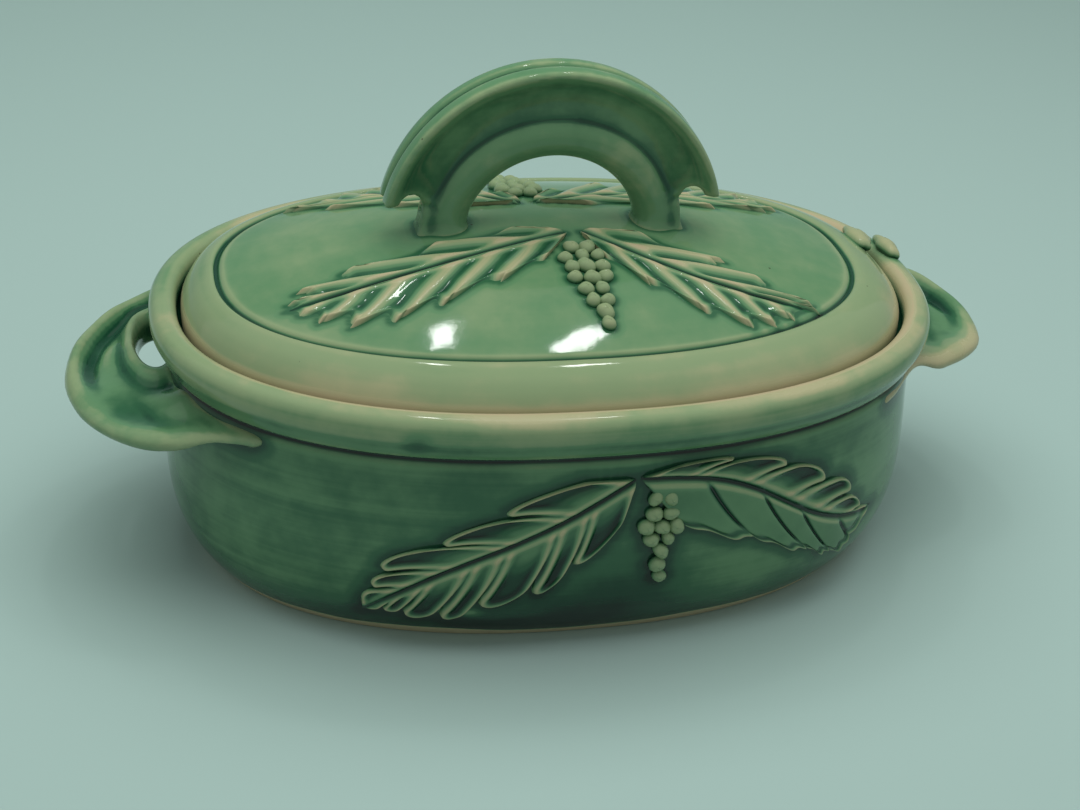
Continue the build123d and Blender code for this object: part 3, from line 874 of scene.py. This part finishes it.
def lump(middle, normal, size, direction, random, ridges=0):
    """A rolled lump of clay: an uneven ball, sized along direction, across it and along the normal."""
    columns, rows = 22, 13
    turn = np.arange(columns) / columns * 2 * math.pi
    tilt = np.linspace(0.06, math.pi - 0.06, rows)[:, None]
    offsets = random.uniform(0, 6.3, 3)
    uneven = 1 + 0.05 * np.sin(2 * turn + offsets[0]) * np.sin(tilt)
    uneven += 0.04 * np.sin(3 * turn + offsets[1] + 2 * tilt)
    uneven += ridges * 0.05 * np.cos(6 * turn + offsets[2]) * np.sin(tilt) ** 2
    u = np.sin(tilt) * np.cos(turn) * uneven
    v = np.sin(tilt) * np.sin(turn) * uneven
    w = np.cos(tilt) * uneven
    normal = normal / np.linalg.norm(normal)
    first = direction - normal * np.dot(direction, normal)
    first = first / np.linalg.norm(first)
    second = np.cross(normal, first)
    rows_of_points = middle + (u * size[0])[..., None] * first + (v * size[1])[..., None] * second
    rows_of_points = rows_of_points + (w * size[2])[..., None] * normal
    points, quads, fans = closed_shell(rows_of_points[::-1])
    out = (points - middle) @ normal / size[2]
    glaze = -0.11 * eased((out + 0.1) / 0.9) + 0.42 * (1 - eased((out + 0.35) / 0.6))
    return points, quads, fans, glaze


def gathered(lumps):
    """Several lumps as one mesh."""
    points, quads, fans, glaze, offset = [], [], [], [], 0
    for lump_points, lump_quads, lump_fans, lump_glaze in lumps:
        points.append(lump_points)
        quads.append(lump_quads + offset)
        fans += [tuple(i + offset for i in fan) for fan in lump_fans]
        glaze.append(lump_glaze)
        offset += len(lump_points)
    return np.vstack(points), np.vstack(quads), fans, np.concatenate(glaze)


BERRY = 3.15  # half-width of a berry


def make_bunch(top, rows, lean, surface, seed, thinner=0.0):
    """A hanging bunch of berries on a surface, row by row from its top. thinner is taken off their glaze."""
    random = np.random.default_rng(seed)
    lumps = []
    for row, count in enumerate(rows):
        for number in range(count):
            across = top[0] + (number - (count - 1) / 2) * 2 * BERRY + row * lean + random.uniform(-0.7, 0.7)
            down = top[1] - row * 1.86 * BERRY + random.uniform(-0.7, 0.7)
            size = BERRY * random.uniform(0.92, 1.12)
            on, above = (surface(np.array(across), np.array(down), lift) for lift in (0.0, 1.0))
            direction = random.normal(size=3)
            shape = (size * random.uniform(1.0, 1.15), size * random.uniform(0.88, 0.98), size * 0.92)
            lumps.append(lump(on + (above - on) * 0.7, above - on, shape, direction, random))
    points, quads, fans, glaze = gathered(lumps)
    return points, quads, fans, glaze - thinner


# -------- camera and light

CAMERA_PLACE = (-0.1571, -0.6913, 0.4616)  # metres
CAMERA_ANGLES = (-12.857, 30.097, 3.431)  # azimuth, elevation and roll in degrees
CAMERA_SENSOR, CAMERA_LENS = 36.0, 64.72  # millimetres
SWEEP_LINE = [(-1.6, 0), (0.75, 0), (1.15, 0.02), (1.35, 0.3), (1.40, 1.6)]  # (y, z) in metres
SWEEP_HALF_WIDTH = 1.9
SWEEP_COLOUR = (0.37, 0.50, 0.465, 1)
ROOM_COLOUR, ROOM_STRENGTH = (0.88, 0.95, 0.92, 1), 0.42
WINDOW_SIZE, WINDOW_POWER = (0.038, 0.095), 0.27


def make_camera():
    """A camera in front of the dish, a little to the left, looking down at about 30 degrees."""
    azimuth, elevation, roll = (math.radians(angle) for angle in CAMERA_ANGLES)
    flat = math.cos(elevation)
    back = Vector((math.sin(azimuth) * flat, -math.cos(azimuth) * flat, math.sin(elevation)))
    level = (-back).cross(Vector((0, 0, 1))).normalized()
    above = level.cross(-back)
    right = level * math.cos(roll) + above * math.sin(roll)
    up = above * math.cos(roll) - level * math.sin(roll)
    data = bpy.data.cameras.new("camera")
    data.sensor_width = CAMERA_SENSOR
    data.lens = CAMERA_LENS
    data.clip_start, data.clip_end = 0.05, 20.0
    camera = added("camera", data)
    turn = Matrix((right, up, back)).transposed().to_4x4()
    camera.matrix_world = Matrix.Translation(CAMERA_PLACE) @ turn
    bpy.context.scene.camera = camera


def area_light(name, place, aim, size, power, colour=(1, 1, 1)):
    """A lamp at a place, in metres, turned to face its aim."""
    data = bpy.data.lights.new(name, "AREA")
    data.shape = "RECTANGLE"
    data.size, data.size_y = size
    data.energy = power
    data.color = colour
    lamp = added(name, data)
    lamp.location = place
    lamp.rotation_euler = (Vector(aim) - Vector(place)).to_track_quat("-Z", "Y").to_euler()
    return lamp


def make_sweep():
    """A seamless pale floor that curves up behind the dish."""
    line = softened(SWEEP_LINE, 4)
    points = [(x, y, z) for y, z in line for x in (-SWEEP_HALF_WIDTH, SWEEP_HALF_WIDTH)]
    faces = [(2 * i, 2 * i + 1, 2 * i + 3, 2 * i + 2) for i in range(len(line) - 1)]
    mesh = bpy.data.meshes.new("sweep")
    mesh.from_pydata(points, [], faces)
    mesh.polygons.foreach_set("use_smooth", [True] * len(faces))
    material = bpy.data.materials.new("sweep_paper")
    material.use_nodes = True
    shader = material.node_tree.nodes["Principled BSDF"]
    shader.inputs["Base Color"].default_value = SWEEP_COLOUR
    shader.inputs["Roughness"].default_value = 0.75
    mesh.materials.append(material)
    sweep = added("sweep", mesh)


def make_lights():
    """A broad soft lamp over the dish, two small bright ones whose reflections show, and a pale room."""
    overhead = area_light("overhead", (0.0, 0.05, 1.10), (0, 0.05, 0), (1.5, 1.1), 11.5, (0.97, 1.0, 0.99))
    overhead.visible_glossy = False
    area_light("window_left", (-0.035, 0.252, 0.963), (-0.05, -0.06, 0.12), WINDOW_SIZE, WINDOW_POWER)
    area_light("window_right", (0.190, 0.176, 0.963), (0.0, -0.06, 0.12), WINDOW_SIZE, WINDOW_POWER)
    world = bpy.data.worlds.new("room")
    world.use_nodes = True
    background = world.node_tree.nodes["Background"]
    background.inputs["Color"].default_value = ROOM_COLOUR
    background.inputs["Strength"].default_value = ROOM_STRENGTH
    bpy.context.scene.world = world
    bpy.context.scene.view_settings.view_transform = "Standard"


# -------- the whole

# Settings of a leaf's side, as leaf_side takes them: width in millimetres, lean in degrees
FINGERS = {"width": 23.5, "lobes": 7, "peak": 0.30, "lean": (60.0, 30.0), "style": "finger"}
LOOPS = {"width": 19.5, "lobes": 5, "peak": 0.34, "lean": (46.0, 26.0), "style": "finger"}
WAVES = {"width": 27.0, "lobes": 5, "peak": 0.38, "lean": (44.0, 42.0), "style": "broad"}
FOLDS = {"width": 19.0, "lobes": 5, "peak": 0.42, "lean": (34.0, 22.0), "style": "fold"}
RIPPLES = {"width": 24.0, "lobes": 7, "peak": 0.32, "lean": (56.0, 30.0), "style": "fold"}


DISH_BUNCH = ((26.0, 69.5), (2, 2, 3, 2, 1, 1, 1), 0.15)  # top, berries in each row, lean
LID_BUNCH = ((6.0, -25.5), (2, 3, 3, 3, 2, 2, 1, 1), 0.6)


def dish_leaves():
    """Stalk end, tip, bow and the two sides of each leaf on the belly, as (round the rim, height)."""
    narrow_loops = {**LOOPS, "width": 16.0, "lobes": 6}
    left = ((belly_place(15.0), 78.5), (belly_place(-88.0), 15.5), (-2.5, 2.0), (FINGERS, LOOPS))
    right = ((belly_place(17.0), 79.0), (belly_place(127.0), 36.5), (2.0, 5.0), (narrow_loops, WAVES))
    return {"left": left, "right": right}


def lid_leaves():
    """The same for the lid's crown, as (x, y)."""
    narrow_folds, narrow_ripples = {**FOLDS, "width": 17.0}, {**RIPPLES, "width": 21.0, "lobes": 6}
    left = ((4.0, -15.0), (-109.0, -39.5), (3.0, 0.0), (RIPPLES, narrow_folds))
    right = ((9.0, -14.0), (93.0, -54.0), (-7.0, 0.0), (FOLDS, narrow_ripples))
    return {"left": left, "right": right}


def belly_surface(turned):
    """The belly's surface, from the front's middle or, turned, from the back's."""
    shift = PERIMETER / 2 if turned else 0.0
    return lambda across, height, lift: on_belly(across + shift, height, lift)


def crown_surface(turned):
    """The same for the crown."""
    way = -1.0 if turned else 1.0
    return lambda x, y, lift: on_crown(way * x, way * y, lift)


def add_piece(name, shape, material, body, node):
    """Makes a piece that stands for a CAD node and moves with its body."""
    points, quads, fans, glaze = shape
    piece = make_object(name, points, quads, fans, glaze, material)
    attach(piece, body)
    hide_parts(node)


def bud_shape(inset, height, angle, size, seed):
    """A long bud on the right end, at an angle from the X axis round the end's centre."""
    random = np.random.default_rng(seed)
    distance = PERIMETER / 4 + math.radians(angle) * 95.0
    x, y, nx, ny = (float(value) for value in plan_at(distance))
    middle = np.array([x - inset * nx, y - inset * ny, height])
    out = np.array([0.25 * nx, 0.25 * ny, 1.0])
    points, quads, fans, glaze = lump(middle, out, size, np.array([-ny, nx, 0.0]), random, ridges=1.5)
    return points, quads, fans, glaze - 0.14


make_camera()
make_sweep()
make_lights()

dish_glaze = glaze_material("dish_glaze", 0.60, mottle=0.16, streak=0.09)
lid_glaze = glaze_material("lid_glaze", 0.39, mottle=0.09, streak=0.03)
handle_glaze = glaze_material("handle_glaze", 0.46, mottle=0.22, streak=0.02)
dish_leaf_glaze = glaze_material("dish_leaf_glaze", 0.50, mottle=0.09, streak=0.0)
lid_leaf_glaze = glaze_material("lid_leaf_glaze", 0.39, mottle=0.08, streak=0.0)
berry_glaze = glaze_material("berry_glaze", 0.40, mottle=0.09, streak=0.0)

near_dish, near_lid = [], []
for place, turned in (("front", False), ("back", True)):
    for group, leaves, surface, near, body, material in (
        ("dish", dish_leaves(), belly_surface(turned), near_dish, "dish", dish_leaf_glaze),
        ("lid", lid_leaves(), crown_surface(turned), near_lid, "lid_body", lid_leaf_glaze),
    ):
        for index, (side, (start, tip, bow, halves)) in enumerate(leaves.items()):
            seed = 10 + index + 5 * turned + 20 * (group == "lid")
            shape, border = make_leaf(start, tip, bow, halves, surface, seed)
            node = f"{group}_leaf_{side}_{place}"
            near.append(border)
            add_piece(f"{group}_{side}_leaf_{place}", shape, material, body, node)
    bunch = make_bunch(*DISH_BUNCH, belly_surface(turned), 41 + turned)
    near_dish.append(bunch[0])
    add_piece(f"dish_bunch_{place}", bunch, berry_glaze, "dish", f"dish_berries_{place}")
    bunch = make_bunch(*LID_BUNCH, crown_surface(turned), 51 + turned, thinner=0.07)
    near_lid.append(bunch[0])
    add_piece(f"lid_bunch_{place}", bunch, berry_glaze, "lid_body", f"lid_berries_{place}")

for side, name in ((-1, "left"), (1, "right")):
    points, quads = make_lug(side)
    glaze = pooling(points, quads, thin=0.16, pool=0.34, sharp_mm=0.10, broad_mm=0.9)
    # Their coat is thinner in front, the right one's more so
    glaze -= (0.12 + 0.08 * side) * (1 - eased((points[:, 1] + 52.0 - 32.0 * side) / 40.0))
    near_dish.append(points)
    lug = (points, quads, (), glaze)
    add_piece(f"lug_{name}", lug, handle_glaze, "dish", f"handle_{name}")

points, quads = make_arch()
glaze = pooling(points, quads, thin=0.14, pool=0.34, sharp_mm=0.16, broad_mm=1.1)
near_lid.append(points[points[:, 2] < LEG_FOOT + 1])
add_piece("arch_handle", (points, quads, (), glaze), handle_glaze, "lid_body", "lid_handle")

rim_bud = bud_shape(5.2, 108.9, 12.0, (9.5, 4.0, 3.4), 61)
lid_bud = bud_shape(18.6, 113.4, 14.0, (10.0, 4.6, 3.6), 62)
add_piece("rim_bud", rim_bud, berry_glaze, "dish", "rim_alignment_bud")
add_piece("lid_bud", lid_bud, berry_glaze, "lid_body", "lid_alignment_bud")
near_dish.append(rim_bud[0])
near_lid.append(lid_bud[0])

# Glaze gathers on the dish and the lid along everything that is stuck on them
points, quads, fans, glaze = make_dish()
glaze += 0.34 * near_to(points, np.vstack(near_dish), 7.0) ** 1.5
add_piece("dish_shell", (points, quads, fans, glaze), dish_glaze, "dish", "dish_body")

points, quads, fans, glaze = make_lid()
glaze += 0.30 * near_to(points, np.vstack(near_lid), 4.5) ** 1.6
add_piece("lid_shell", (points, quads, fans, glaze), lid_glaze, "lid_body", "lid")
